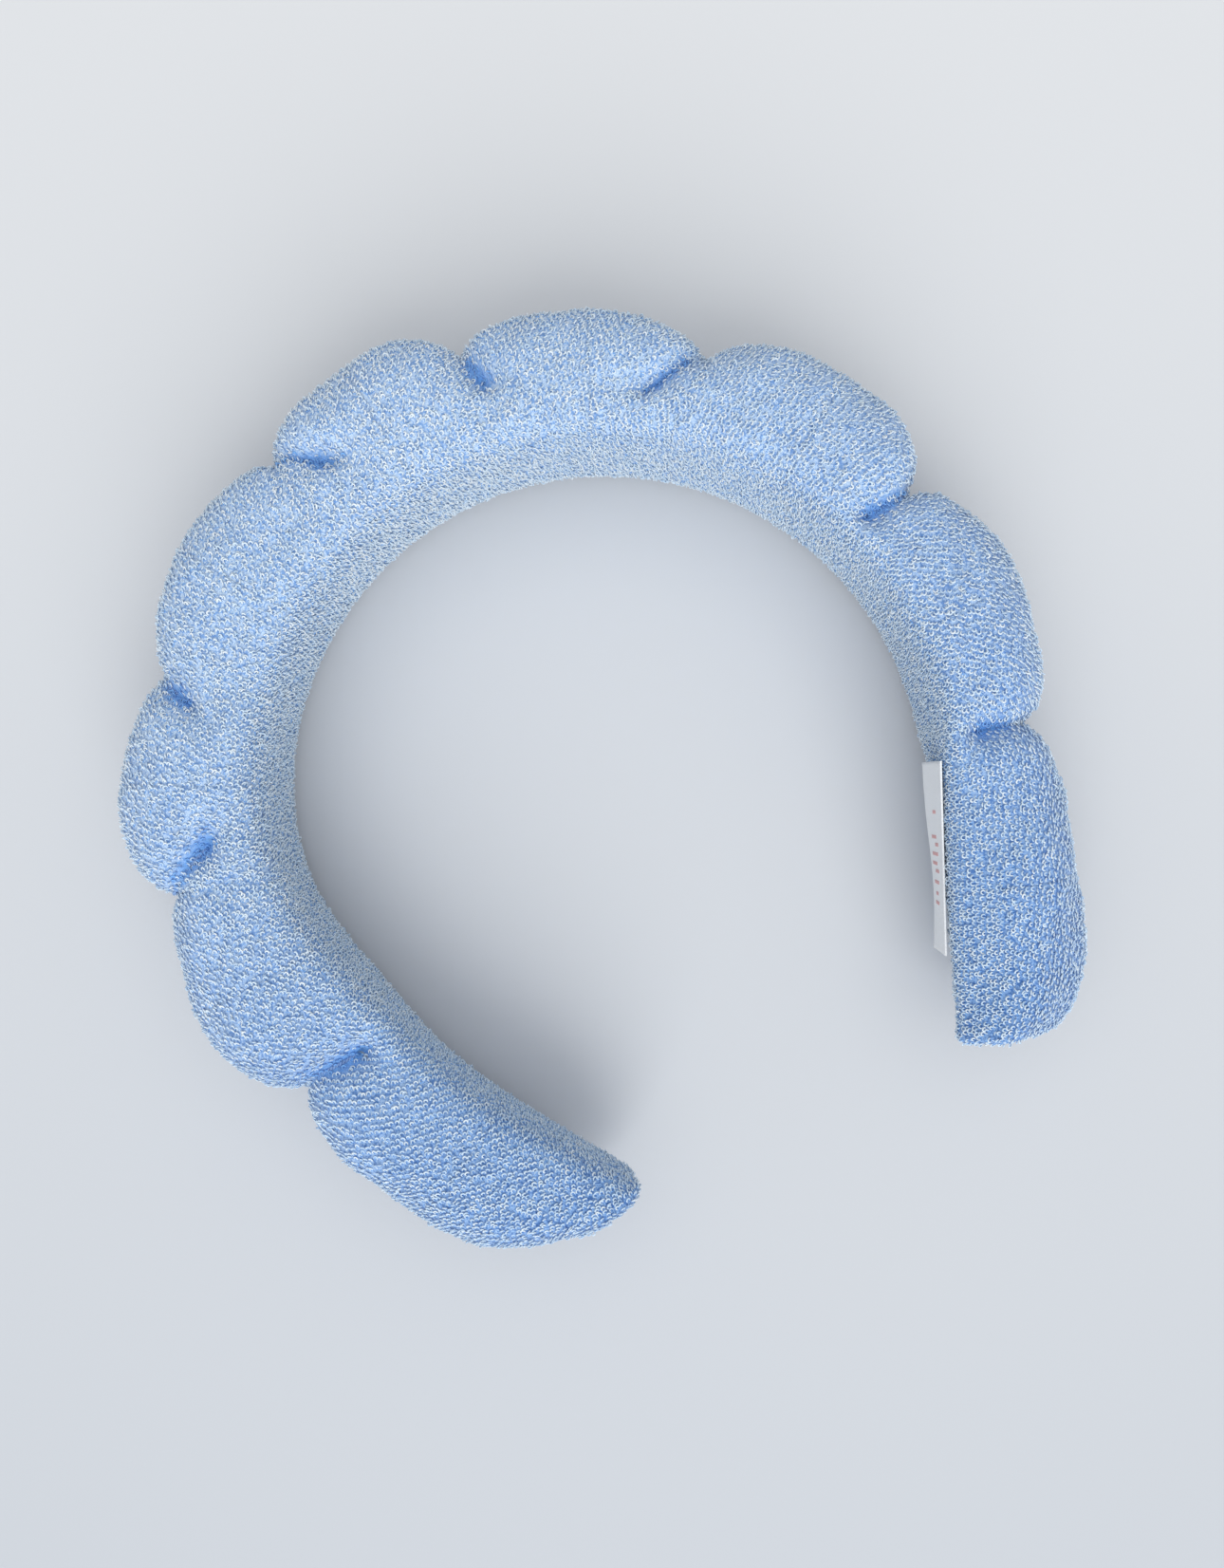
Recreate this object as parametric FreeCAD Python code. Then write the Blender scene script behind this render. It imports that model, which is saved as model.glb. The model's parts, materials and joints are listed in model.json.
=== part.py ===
"""Padded terry spa headband, lying on its side.

The hoop lies in the XY plane with its crown towards +Y and its two free ends towards -Y.
Every piece follows the hoop line, which is the middle of the band's inner face. A place on the band is
given by three numbers in millimetres: along (from the crown, positive towards the right end at +X),
out (from the inner face towards the padded rim) and across (the band's width, positive upwards).
Thread ties divide the band into puffs. Each tie is a flex point, so every layer is parted there.
"""

import FreeCAD
import Part
import math
import os

# Layout. Every list runs from the left end of the band to its right end.
SEGMENTS = ["left_tip", "left_lower", "left_middle", "left_upper", "crown",
            "right_upper", "right_middle", "right_lower", "right_tip"]
CROWN = SEGMENTS.index("crown")
TIE_NAMES = ["left_tie_lowest", "left_tie_lower", "left_tie_upper", "left_tie_crown",
             "right_tie_crown", "right_tie_upper", "right_tie_lower", "right_tie_lowest"]

# Hoop line: an arc about the hoop's centre, then a straight run to each end (side -1 is left, 1 is right).
INNER_RADIUS = 63.5
ARC_END_DEG = {-1: 119.5, 1: 111.0}
STRAIGHT_RUN = {-1: 43.0, 1: 59.0}
TIE_DEG = [-104.0, -73.0, -45.0, -15.5, 11.8, 43.8, 76.0, 111.0]
HOOP_CENTRE = FreeCAD.Vector(-0.18, -5.69, 19.375)

# Padded section: how far the rim stands out, and how wide the band is, at each puff and at each tie.
PUFF_OUT = [23.5, 26.0, 29.5, 30.5, 32.0, 30.0, 28.6, 26.4, 23.5]
PUFF_WIDTH = [33.0, 36.0, 38.0, 38.5, 38.5, 38.0, 38.0, 37.0, 33.0]
TIE_OUT = [20.5, 22.5, 26.0, 26.5, 25.0, 22.5, 17.5, 18.0]
TIE_WIDTH = [33.0, 35.0, 36.0, 36.5, 36.5, 36.0, 35.5, 34.0]
PUFF_CROWNING = (2.2, 0.52)         # exponents of a puff's profile along the band
SECTION_SPLIT = 0.42                # the widest line's height, as a share of out
RIM_ROUNDNESS = 2.3                 # superellipse exponent of the rim side
INNER_ROUNDNESS = 4.5               # the same for the head side, which is flatter
POINTS_PER_SIDE = 8

# Free ends (side -1 is left, 1 is right).
END_WIDTH = {-1: 25.0, 1: 27.0}
END_OUT_SHARE = {-1: 0.25, 1: 0.5}  # thickness left at the closed end
END_ROUNDING = {-1: 0.26, 1: 0.40}  # share of the end pad over which it rounds off
END_SWELL = {-1: 0.38, 1: 0.50}     # share of the end pad over which it swells after its tie
END_SLANT_DEG = {-1: 20.0, 1: 0.0}
ROUNDING_POWER = 2.5
SWELL_POWER = 3

# Twist of the band about its own length, in degrees at places along it. The right end is wrung the most.
TWIST_DEG = {"left_end": 8.0, "left_tie_lowest": 4.0, "level": 0.0, "right_tie_lowest": 6.0,
             "right_end": 50.0}
LEVEL_DEG = 60.0                    # no twist within this angle of the crown
TWIST_AXIS_OUT = 10.0
TWIST_AXIS_SHARE = 0.42             # where the pad is thinner than that

# Layers, from the head outwards.
LINER_OUT = 1.4
LINER_CLEARANCE = 0.20
END_CLEARANCE = 0.05
SLOT_SHARE = 0.38                   # half width of the liner's slot, as a share of the band's width
COVER_THICKNESS = 1.5
FOAM_INSET = 1.7
HOOP_LOW = 1.6
HOOP_THICKNESS = 2.0
HOOP_WIDTH_CROWN = 22.0
HOOP_WIDTH_END = 15.0
HOOP_END_MARGIN = 9.0               # from the pad's closed end
HOOP_POINT = 8.0                    # length over which the strip's end narrows
CHANNEL_CLEARANCE = 0.25
LINER_END_MARGIN = 2.0
FOAM_END_MARGIN = 2.0
TIE_OVERSHOOT = 1.0

# Flex at the ties.
OPENING_DEG = {1: 5.0, 2: 4.7, 3: 3.6, 4: 2.3}   # by tie, counted from the crown
SWING_MARGIN_DEG = 0.5
PAD_GAP = 0.55                      # each side of the tie plane
LINER_GAP = 0.25
HOOP_GAP = 0.10

# Thread ties: a loop through the pad and over its rim.
THREAD_RADIUS = 0.4
TIE_DEPTH = 9.5
TIE_SIDE_INSET = 5.4
TIE_RIM_INSET = 2.3
TIE_RIM_CORNER = 4.5
TIE_INNER_CORNER = 1.6

# Care label, caught in the seam between the liner and the upper side of the right end pad.
LABEL_LENGTH = 38.0
LABEL_DROP = 12.0
LABEL_THICKNESS = 0.4
LABEL_AFTER_TIE = 6.0
LABEL_CLEARANCE = 1.2

# Hand stitches that close each end.
STITCH_RADIUS = 0.3
STITCH_LENGTH = 3.0
STITCH_SPACING = 3.6
STITCHES_PER_END = 5

# Stations at which each pad is drawn, as shares of its length.
PUFF_STATIONS = [0.0, 0.03, 0.10, 0.25, 0.50, 0.75, 0.90, 0.97, 1.0]
END_STATIONS = [0.0, 0.04, 0.14, 0.30, 0.50, 0.68, 0.82, 0.92, 0.98, 1.0]


def along_arc(degrees):
    """Distance from the crown of a point on the hoop's arc."""
    return INNER_RADIUS * math.radians(degrees)


def end_along(side):
    """Distance from the crown of the left (-1) or right (1) closed end."""
    return side * (along_arc(ARC_END_DEG[side]) + STRAIGHT_RUN[side])


TIES = [along_arc(degrees) for degrees in TIE_DEG]
BOUNDS = [end_along(-1)] + TIES + [end_along(1)]


def interpolate(value, places, levels):
    """Piecewise linear value between places, held beyond the first and the last."""
    if value <= places[0]:
        return levels[0]
    for low, high, start, stop in zip(places, places[1:], levels, levels[1:]):
        if value <= high:
            return start + (stop - start) * (value - low) / (high - low)
    return levels[-1]


def side_of(along):
    return -1 if along < 0 else 1


def hoop_frame(along):
    """Point on the hoop line, direction along it and direction outwards, about the hoop's centre."""
    side = side_of(along)
    beyond = abs(along) - along_arc(ARC_END_DEG[side])
    angle = side * math.radians(ARC_END_DEG[side]) if beyond > 0 else along / INNER_RADIUS
    forward = FreeCAD.Vector(math.cos(angle), -math.sin(angle), 0)
    outward = FreeCAD.Vector(math.sin(angle), math.cos(angle), 0)
    point = outward * INNER_RADIUS + forward * (side * max(beyond, 0))
    return point, forward, outward


def end_share(along):
    """How far a place is into an end pad, from 0 at its tie to 1 at the closed end."""
    side = side_of(along)
    tie = TIES[0] if side < 0 else TIES[-1]
    share = (along - tie) / (end_along(side) - tie)
    return min(max(share, 0.0), 1.0)


def twist_at(along):
    places = [BOUNDS[0], TIES[0], along_arc(-LEVEL_DEG), along_arc(LEVEL_DEG), TIES[-1], BOUNDS[-1]]
    levels = [TWIST_DEG["left_end"], TWIST_DEG["left_tie_lowest"], TWIST_DEG["level"],
              TWIST_DEG["level"], TWIST_DEG["right_tie_lowest"], TWIST_DEG["right_end"]]
    return math.radians(interpolate(along, places, levels))


def pad_size(segment, along):
    """How far out the pad's rim is and how wide the pad is, at a place along one segment."""
    low, high = BOUNDS[segment], BOUNDS[segment + 1]
    share = min(max((along - low) / (high - low), 0.0), 1.0)
    if segment in (0, len(SEGMENTS) - 1):
        side = -1 if segment == 0 else 1
        return end_pad_size(segment, side, end_share(along))
    power, fullness = PUFF_CROWNING
    arch = (1 - abs(2 * share - 1) ** power) ** fullness
    tie_out = TIE_OUT[segment - 1] + (TIE_OUT[segment] - TIE_OUT[segment - 1]) * share
    tie_width = TIE_WIDTH[segment - 1] + (TIE_WIDTH[segment] - TIE_WIDTH[segment - 1]) * share
    out = tie_out + (PUFF_OUT[segment] - tie_out) * arch
    width = tie_width + (PUFF_WIDTH[segment] - tie_width) * arch
    return out, width


def end_pad_size(segment, side, share):
    """The same for an end pad, at a share of its length from its tie."""
    tie = 0 if side < 0 else len(TIES) - 1
    swell = 1 - (1 - min(share / END_SWELL[side], 1.0)) ** SWELL_POWER
    out = TIE_OUT[tie] + (PUFF_OUT[segment] - TIE_OUT[tie]) * swell
    width = TIE_WIDTH[tie] + (PUFF_WIDTH[segment] - TIE_WIDTH[tie]) * swell
    past = max((share - 1 + END_ROUNDING[side]) / END_ROUNDING[side], 0.0)
    rounding = max(1 - past ** ROUNDING_POWER, 0.0) ** (1 / ROUNDING_POWER)
    out = out * (END_OUT_SHARE[side] + (1 - END_OUT_SHARE[side]) * rounding)
    width = width + (END_WIDTH[side] - width) * past ** ROUNDING_POWER
    return out, width


def place(segment, along, out, across):
    """Point in space of a place on the band, with the band's twist and the slant of its ends."""
    point, forward, outward = hoop_frame(along)
    twist = twist_at(along)
    axis = min(TWIST_AXIS_SHARE * pad_size(segment, along)[0], TWIST_AXIS_OUT)
    turned_out = axis + (out - axis) * math.cos(twist) - across * math.sin(twist)
    turned_across = (out - axis) * math.sin(twist) + across * math.cos(twist)
    side = side_of(along)
    slant = side * math.tan(math.radians(END_SLANT_DEG[side])) * end_share(along) ** 2
    offset = outward * turned_out - forward * (slant * turned_out)
    return HOOP_CENTRE + point + offset + FreeCAD.Vector(0, 0, turned_across)


def section_point(out, width, inset, angle):
    """Point of the padded section, set in by inset. Angle 0 is the rim and 180 degrees the inner face."""
    out = out - 2 * inset
    width = width - 2 * inset
    towards_rim = math.cos(angle) >= 0
    power = 2 / (RIM_ROUNDNESS if towards_rim else INNER_ROUNDNESS)
    lobe = (1 - SECTION_SPLIT) if towards_rim else -SECTION_SPLIT
    reach = abs(math.cos(angle)) ** power
    across = width / 2 * math.copysign(abs(math.sin(angle)) ** power, math.sin(angle))
    return inset + SECTION_SPLIT * out + lobe * out * reach, across


def lip_angle(width, inset):
    """Section angle of the lip beside the liner, where the padded section is SLOT_SHARE of the width across."""
    ratio = 2 * SLOT_SHARE * width / (width - 2 * inset)
    return math.pi - math.asin(ratio ** (INNER_ROUNDNESS / 2))


def curve(points, closed=False):
    """Smooth edge through points."""
    spline = Part.BSplineCurve()
    spline.interpolate(Points=points, PeriodicFlag=closed)
    return spline.toShape()


def closed_line(edges, points):
    """Wire of the edges, then straight lines through points back to the start of the first edge."""
    corners = [edges[-1].Vertexes[-1].Point] + points + [edges[0].Vertexes[0].Point]
    lines = [Part.makeLine(a, b) for a, b in zip(corners, corners[1:])]
    return Part.Wire(edges + lines)


def outer_wire(segment, along):
    """Outline of the whole padded section."""
    out, width = pad_size(segment, along)
    count = 4 * POINTS_PER_SIDE
    points = []
    for i in range(count):
        o, a = section_point(out, width, 0.0, 2 * math.pi * i / count)
        points.append(place(segment, along, o, a))
    return Part.Wire([curve(points, closed=True)])


def hull_edge(segment, along, size_along, inset):
    """Edge from the upper lip over the rim to the lower lip, set in from the padded section."""
    out, width = pad_size(segment, size_along)
    lip = lip_angle(width, inset)
    count = 2 * POINTS_PER_SIDE
    points = []
    for i in range(count + 1):
        o, a = section_point(out, width, inset, lip - 2 * lip * i / count)
        points.append(place(segment, along, o, a))
    return curve(points), SLOT_SHARE * width


def cavity_wire(segment, along, size_along):
    """The space inside the cover, open through the liner's slot."""
    edge, slot = hull_edge(segment, along, size_along, COVER_THICKNESS)
    below = -2 * LINER_OUT
    corners = [place(segment, along, below, -slot), place(segment, along, below, slot)]
    return closed_line([edge], corners)


def foam_wire(segment, along, size_along):
    """Foam section with a channel over the hoop strip."""
    edge, slot = hull_edge(segment, along, size_along, FOAM_INSET)
    half = hoop_half_width(along) + CHANNEL_CLEARANCE
    floor = HOOP_LOW + HOOP_THICKNESS + CHANNEL_CLEARANCE
    corners = [(FOAM_INSET, -slot), (FOAM_INSET, -half), (floor, -half),
               (floor, half), (FOAM_INSET, half), (FOAM_INSET, slot)]
    return closed_line([edge], [place(segment, along, o, a) for o, a in corners])


def liner_wire(segment, along):
    """Inner terry strip: it follows the rounding of the inner face, and its back is flat."""
    out, width = pad_size(segment, along)
    half = SLOT_SHARE * width - LINER_CLEARANCE
    lip = math.pi - math.asin((2 * half / width) ** (INNER_ROUNDNESS / 2))
    points = []
    for i in range(POINTS_PER_SIDE + 1):
        angle = lip + 2 * (math.pi - lip) * i / POINTS_PER_SIDE
        o, a = section_point(out, width, 0.0, angle)
        points.append(place(segment, along, o, a))
    corners = [place(segment, along, LINER_OUT, -half), place(segment, along, LINER_OUT, half)]
    return closed_line([curve(points)], corners)


def hoop_half_width(along):
    side = side_of(along)
    end = abs(end_along(side)) - HOOP_END_MARGIN
    share = min(abs(along) / end, 1.0)
    return (HOOP_WIDTH_CROWN + (HOOP_WIDTH_END - HOOP_WIDTH_CROWN) * share ** 2) / 2


def hoop_wire(segment, along):
    """Plastic strip section: flat faces with half-round edges. It narrows to a rounded point at each end."""
    side = side_of(along)
    left = max(abs(end_along(side)) - HOOP_END_MARGIN - abs(along), 0.0)
    point = 1 - min(left / HOOP_POINT, 1.0)
    half = hoop_half_width(along) * math.sqrt(1 - 0.85 * point ** 2)
    low, high = HOOP_LOW, HOOP_LOW + HOOP_THICKNESS
    middle = (low + high) / 2
    flat = half - HOOP_THICKNESS / 2

    def at(out, across):
        return place(segment, along, out, across)

    edges = [Part.makeLine(at(low, -flat), at(low, flat)),
             Part.Arc(at(low, flat), at(middle, half), at(high, flat)).toShape(),
             Part.makeLine(at(high, flat), at(high, -flat)),
             Part.Arc(at(high, -flat), at(middle, -half), at(low, -flat)).toShape()]
    return Part.Wire(edges)


def stations(segment, end_margin=0.0):
    """Places along a segment at which it is drawn. An end pad stops end_margin short of its closed end."""
    low, high = BOUNDS[segment], BOUNDS[segment + 1]
    if segment == 0:
        low = low + end_margin
        return [high + (low - high) * share for share in END_STATIONS][::-1]
    if segment == len(SEGMENTS) - 1:
        high = high - end_margin
        return [low + (high - low) * share for share in END_STATIONS]
    return [low + (high - low) * share for share in PUFF_STATIONS]


def loft(wires):
    return Part.makeLoft(wires, True, False)


def loft_past_ties(wire, segment, end_margin):
    """Loft of wire(segment, along, size_along) that runs a little past the segment's ties."""
    places = stations(segment, end_margin)
    wires = [wire(segment, along, along) for along in places]
    if segment > 0:
        wires.insert(0, wire(segment, places[0] - TIE_OVERSHOOT, places[0]))
    if segment < len(SEGMENTS) - 1:
        wires.append(wire(segment, places[-1] + TIE_OVERSHOOT, places[-1]))
    return loft(wires)


def hinge_out():
    return HOOP_LOW + HOOP_THICKNESS / 2


def opening_at(tie):
    """Opening angle of a tie, which is largest next to the crown."""
    step = CROWN - tie if tie < CROWN else tie - CROWN + 1
    return OPENING_DEG[step]


def tie_plane(tie, gap, keeps_side, is_parent):
    """Two points, head side and rim side, of the face that ends a segment at a tie.

    The crown's side of a gap is square to the band. The other side leans away by the opening angle.
    """
    point, forward, outward = hoop_frame(TIES[tie])
    lean = 0.0 if is_parent else math.tan(math.radians(opening_at(tie) + SWING_MARGIN_DEG))
    reach = 60.0
    shifts = [(-reach, 0.0), (0.0, 0.0), (reach, lean * reach)]
    base = HOOP_CENTRE + point + outward * hinge_out()
    return [base + outward * o + forward * (keeps_side * (gap + shift)) for o, shift in shifts]


def sector(segment, gap):
    """Block that holds one segment between the gaps at its ties."""
    reach = 60.0
    faces = []
    for end, keeps_side in ((segment - 1, 1), (segment, -1)):
        if 0 <= end < len(TIES):
            crown_side = -1 if end >= CROWN else 1
            faces.append(tie_plane(end, gap, keeps_side, keeps_side == crown_side))
        else:
            side = -keeps_side
            point, forward, outward = hoop_frame(end_along(side))
            base = HOOP_CENTRE + point + forward * (side * reach)
            faces.append([base - outward * reach, base, base + outward * reach])
    start, stop = faces
    outline = [FreeCAD.Vector(p.x, p.y, -reach) for p in start + stop[::-1]]
    face = Part.Face(Part.makePolygon(outline + [outline[0]]))
    return face.extrude(FreeCAD.Vector(0, 0, 3 * reach))


def trimmed(shape, segment, gap):
    """The one solid of a layer that lies between its segment's gaps."""
    return shape.common(sector(segment, gap)).Solids[0]


def cover(segment):
    """Terry cover: a shell over the rim and both sides, closed at the band's ends."""
    outside = loft([outer_wire(segment, along) for along in stations(segment)])
    cavity = loft_past_ties(cavity_wire, segment, COVER_THICKNESS + END_CLEARANCE)
    return trimmed(outside.cut(cavity), segment, PAD_GAP)


def foam(segment):
    """Foam core of one puff."""
    return trimmed(loft_past_ties(foam_wire, segment, FOAM_END_MARGIN), segment, PAD_GAP)


def liner(segment):
    """Flat terry strip against the head."""
    places = stations(segment, LINER_END_MARGIN)
    return trimmed(loft([liner_wire(segment, along) for along in places]), segment, LINER_GAP)


def hoop(segment):
    """Length of the springy plastic strip inside one segment."""
    places = stations(segment, HOOP_END_MARGIN)
    return trimmed(loft([hoop_wire(segment, along) for along in places]), segment, HOOP_GAP)


def rounded_loop(corners, radii):
    """Closed wire of straight runs and tangent arcs round the corners."""
    starts, edges = [], []
    count = len(corners)
    for i in range(count):
        before = (corners[i - 1] - corners[i]).normalize()
        after = (corners[(i + 1) % count] - corners[i]).normalize()
        half = before.getAngle(after) / 2
        trim = radii[i] / math.tan(half)
        middle = (before + after).normalize() * (radii[i] / math.sin(half) - radii[i])
        start = corners[i] + before * trim
        stop = corners[i] + after * trim
        starts.append((start, stop))
        edges.append(Part.Arc(start, corners[i] + middle, stop).toShape())
    joined = []
    for i in range(count):
        joined.append(edges[i])
        joined.append(Part.makeLine(starts[i][1], starts[(i + 1) % count][0]))
    return Part.Wire(joined)


def thread_tube(wire, radius):
    """Round thread along a closed wire."""
    first = wire.Edges[0]
    start = first.valueAt(first.FirstParameter)
    direction = first.tangentAt(first.FirstParameter)
    circle = Part.Wire([Part.makeCircle(radius, start, direction)])
    return wire.makePipeShell([circle], True, False)


def thread_tie(tie):
    """Thread loop that pulls the rim in between two puffs."""
    along = TIES[tie]
    rim = TIE_OUT[tie] - TIE_RIM_INSET
    depth = TIE_OUT[tie] - TIE_DEPTH
    half = TIE_WIDTH[tie] / 2 - TIE_SIDE_INSET
    corners = [(rim, half), (rim, -half), (depth, -half), (depth, half)]
    points = [place(tie, along, o, a) for o, a in corners]
    radii = [TIE_RIM_CORNER, TIE_RIM_CORNER, TIE_INNER_CORNER, TIE_INNER_CORNER]
    return thread_tube(rounded_loop(points, radii), THREAD_RADIUS)


def upper_seam(segment, along):
    """Place of the seam between the liner and the cover on the band's upper side."""
    out, width = pad_size(segment, along)
    o, a = section_point(out, width, 0.0, lip_angle(width, 0.0))
    return place(segment, along, o, a)


def care_label():
    """Flat woven label that hangs from the upper seam on the head side of the right end pad."""
    segment = len(SEGMENTS) - 1
    first = TIES[-1] + LABEL_AFTER_TIE
    start = upper_seam(segment, first)
    stop = upper_seam(segment, first + LABEL_LENGTH)
    run = FreeCAD.Vector(stop.x - start.x, stop.y - start.y, 0)
    inward = FreeCAD.Vector(run.y, -run.x, 0).normalize()
    top = max(start.z, stop.z)
    corner = FreeCAD.Vector(start.x, start.y, top - LABEL_DROP) + inward * LABEL_CLEARANCE
    run = run.normalize() * LABEL_LENGTH
    drop = FreeCAD.Vector(0, 0, LABEL_DROP)
    outline = [corner, corner + run, corner + run + drop, corner + drop, corner]
    return Part.Face(Part.makePolygon(outline)).extrude(inward * LABEL_THICKNESS)


def end_stitches(side):
    """Row of short stitches that closes the cover across one end."""
    segment = 0 if side < 0 else len(SEGMENTS) - 1
    end = end_along(side)
    out = pad_size(segment, end)[0] / 2
    beyond = hoop_frame(end)[1] * (side * (STITCH_RADIUS + END_CLEARANCE))
    stitches = []
    for i in range(STITCHES_PER_END):
        across = (i - (STITCHES_PER_END - 1) / 2) * STITCH_SPACING
        low = place(segment, end, out - STITCH_LENGTH / 2, across) + beyond
        high = place(segment, end, out + STITCH_LENGTH / 2, across) + beyond
        stitches.append(Part.makeCylinder(STITCH_RADIUS, (high - low).Length, low, high - low))
    return Part.makeCompound(stitches)


def save(name, shape):
    shape.exportStep("parts/" + name + ".step")


def main():
    os.makedirs("parts", exist_ok=True)
    for segment, name in enumerate(SEGMENTS):
        save(name + "_hoop", hoop(segment))
        save(name + "_foam", foam(segment))
        save(name + "_liner", liner(segment))
        save(name + "_cover", cover(segment))
    for tie, name in enumerate(TIE_NAMES):
        save(name, thread_tie(tie))
    save("care_label", care_label())
    save("left_end_stitches", end_stitches(-1))
    save("right_end_stitches", end_stitches(1))


main()
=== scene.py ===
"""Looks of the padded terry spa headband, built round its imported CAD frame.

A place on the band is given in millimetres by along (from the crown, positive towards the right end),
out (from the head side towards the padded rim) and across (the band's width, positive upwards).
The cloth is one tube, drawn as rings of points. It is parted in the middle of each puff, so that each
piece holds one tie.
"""

import json
import math

import bmesh
import bpy
import numpy as np
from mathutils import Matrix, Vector


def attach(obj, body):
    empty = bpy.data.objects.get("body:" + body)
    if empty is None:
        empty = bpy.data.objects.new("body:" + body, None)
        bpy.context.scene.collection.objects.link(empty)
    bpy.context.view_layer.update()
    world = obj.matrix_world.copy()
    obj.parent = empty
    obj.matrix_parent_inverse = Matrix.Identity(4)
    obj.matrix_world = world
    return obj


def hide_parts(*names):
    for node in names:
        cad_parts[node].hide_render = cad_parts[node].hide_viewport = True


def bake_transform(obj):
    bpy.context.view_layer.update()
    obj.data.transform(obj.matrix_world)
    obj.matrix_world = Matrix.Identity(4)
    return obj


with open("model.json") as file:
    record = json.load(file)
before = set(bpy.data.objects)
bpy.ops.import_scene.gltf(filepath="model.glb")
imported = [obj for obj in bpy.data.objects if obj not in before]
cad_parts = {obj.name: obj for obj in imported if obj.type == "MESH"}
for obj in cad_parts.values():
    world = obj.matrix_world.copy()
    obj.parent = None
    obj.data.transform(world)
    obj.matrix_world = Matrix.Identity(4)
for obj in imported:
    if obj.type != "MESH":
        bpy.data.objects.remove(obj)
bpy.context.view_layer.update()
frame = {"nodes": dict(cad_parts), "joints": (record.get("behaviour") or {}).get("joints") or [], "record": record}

MM = 0.001
RECORD = frame["record"]
RNG = np.random.default_rng(20)

# ---------------------------------------------------------------- layout

SEGMENTS = ["left_tip", "left_lower", "left_middle", "left_upper", "crown",
            "right_upper", "right_middle", "right_lower", "right_tip"]
TIES = ["left_tie_lowest", "left_tie_lower", "left_tie_upper", "left_tie_crown",
        "right_tie_crown", "right_tie_upper", "right_tie_lower", "right_tie_lowest"]
LEFT, RIGHT = -1, 1

INNER_RADIUS = 63.5
ARC_END = {LEFT: math.radians(119.5), RIGHT: math.radians(111.0)}
STRAIGHT_RUN = {LEFT: 43.0, RIGHT: 59.0}
PUFF_OUT = [26.7, 26.9, 29.7, 31.3, 32.7, 29.4, 29.0, 26.2, 24.7]
PUFF_WIDTH = [33.0, 36.0, 38.0, 38.5, 38.5, 38.0, 38.0, 37.0, 31.5]
TIE_OUT = [20.1, 22.5, 26.0, 26.5, 25.8, 22.1, 17.5, 18.8]
TIE_WIDTH = [33.0, 35.0, 36.0, 36.5, 36.5, 36.0, 35.5, 32.5]
PUFF_SKEW = [0.0, 0.33, 0.25, -0.64, -0.12, 0.58, -0.19, 0.14, 0.0]      # a puff's top nearer to its left tie
CROWNING, FULLNESS = 2.2, [0.52, 0.68, 0.60, 0.62, 0.72, 0.58, 0.55, 0.52, 0.52]

# The cloth stands off the hoop strip here, on the head side, where the band straightens.
SWELL_ALONG, SWELL_REACH, SWELL_DEPTH = -112.0, 25.0, 5.5
SWELL_END_DEPTH = 1.6

END_WIDTH = {LEFT: 25.0, RIGHT: 27.0}
END_OUT_SHARE = {LEFT: 0.32, RIGHT: 0.52}
END_ROUNDING = {LEFT: 0.575, RIGHT: 0.70}
END_SWELL = {LEFT: 0.74, RIGHT: 0.35}
END_SLANT = {LEFT: math.tan(math.radians(22.4)), RIGHT: 0.0}
ROUNDING_POWER = 2.5

SECTION_SPLIT = 0.42
RIM_ROUNDNESS, INNER_ROUNDNESS = 2.3, 4.5
SLOT_SHARE = 0.38
SECTION_SAMPLES = 401

LEVEL = math.radians(60.0)
TWIST_DEG = {"left_end": 8.0, "left_tie": 4.0, "level": 0.0, "right_tie": 3.0, "right_end": 46.0}
TWIST_AXIS_OUT = 10.0

HEAD_SEAT = RECORD["mounts"][0]["pos_m"]
HOOP_CENTRE = np.array(HEAD_SEAT) / MM - [0.0, INNER_RADIUS, 0.0]
JOINTS = {joint["name"].replace("flex", "tie"): joint for joint in frame["joints"]}


def tie_along(name):
    """Distance from the crown of a tie, from its joint's place."""
    x, y = (np.array(JOINTS[name]["pos_m"]) / MM - HOOP_CENTRE)[:2]
    return INNER_RADIUS * math.atan2(x, y)


TIE_ALONG = np.array([tie_along(name) for name in TIES])
END_ALONG = {side: side * (INNER_RADIUS * ARC_END[side] + STRAIGHT_RUN[side]) for side in (LEFT, RIGHT)}
BOUNDS = np.array([END_ALONG[LEFT], *TIE_ALONG, END_ALONG[RIGHT]])
MIDDLES = (BOUNDS[1:] + BOUNDS[:-1]) / 2

# ---------------------------------------------------------------- cloth surface

SKIN_INSET = 1.0            # the loops of the terry fill the rest
RING_STEP = 0.8
COVER_COLUMNS, LINER_COLUMNS = 108, 36
SKIN_THICKNESS = 0.6
CAP_RINGS = 7
CAP_BULGE = 2.2
CAP_TIP = 0.02              # share of the girth where a cap closes
CAP_STEP = 0.6
FLOOR_HEIGHT = 1.1          # of the cloth where it rests, on its loops

# Tufts: how the thread draws the pad in, on its upper and lower sides.
TUFT_DEPTH = 9.5            # from the rim to where the thread goes through
TUFT_SINK = 4.2
SLIT_SINK = 2.5
SLIT_SPREAD = 2.2
VALLEY_SINK = 0.9
VALLEY_SPREAD = 4.5
SLIT_FADE = 5.0             # past the thread, over which a slit ends
VALLEY_STOP = 3.0           # from the head side, where a valley ends
RIM_SHALLOWER = 0.6         # share of a tuft's depth that is left out at the rim
RIM_DRAWN = 0.5             # how far in the rim is drawn, as a share of that depth
RIM_REACH = 6.0             # from the rim, over which both fade out
TUFT_LEAN = {1: [-2.7, 5.8, -3.0, 5.8, 1.8, -7.0, -2.0, 0.4],
             -1: [2.0, -3.0, 2.5, 1.0, -4.0, 3.0, 2.0, -2.5]}   # along, at the upper (1) and lower (-1) side


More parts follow.
